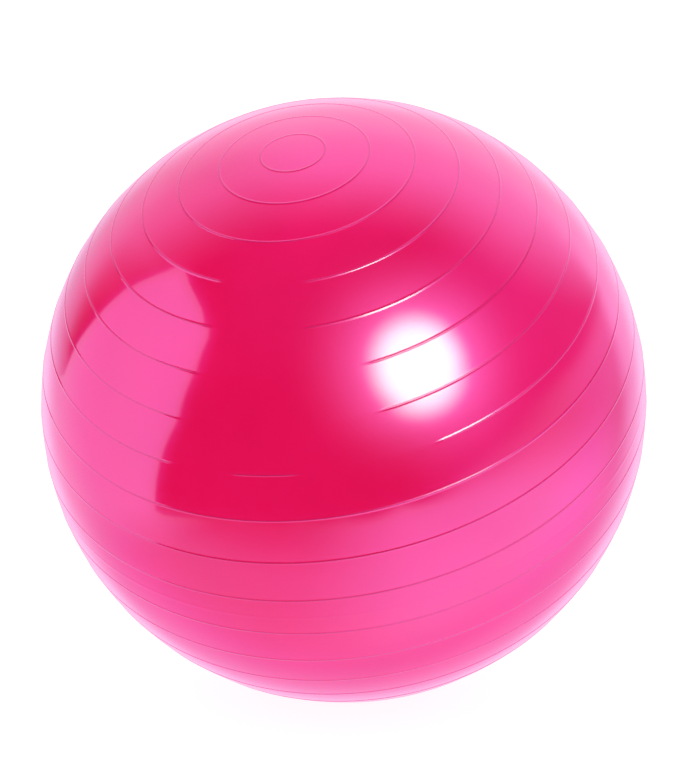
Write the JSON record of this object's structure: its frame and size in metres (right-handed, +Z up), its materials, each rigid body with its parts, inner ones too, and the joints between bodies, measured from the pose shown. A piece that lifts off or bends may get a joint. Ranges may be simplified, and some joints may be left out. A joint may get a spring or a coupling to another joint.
{
  "type": "exercise ball",
  "caption": "Inflated round exercise ball with raised ring ribs, a smooth label panel and a pull-out air plug on its underside.",
  "frame": {"origin": "middle of the flat patch that the ball stands on, at floor height", "axes": "+Z up. The ring axis lies in the X-Z plane, 30 degrees from vertical: the plain pole is up towards -X and the valve pole is down towards +X."},
  "size_m": [0.6504, 0.6498, 0.6492],
  "materials": {
    "skin": "glossy pearl soft PVC",
    "valve_collar": "satin soft PVC",
    "valve_plug": "satin soft PVC"
  },
  "bodies": {
    "ball": {"ball_skin": "skin", "valve_socket": "valve_collar"},
    "plug": {"valve_plug": "valve_plug"}
  },
  "joints": [
    {"name": "plug_pull", "type": "slide", "parent": "ball", "child": "plug", "axis": [0.5, 0, -0.866], "range_m": [0, 0.03]}
  ]
}
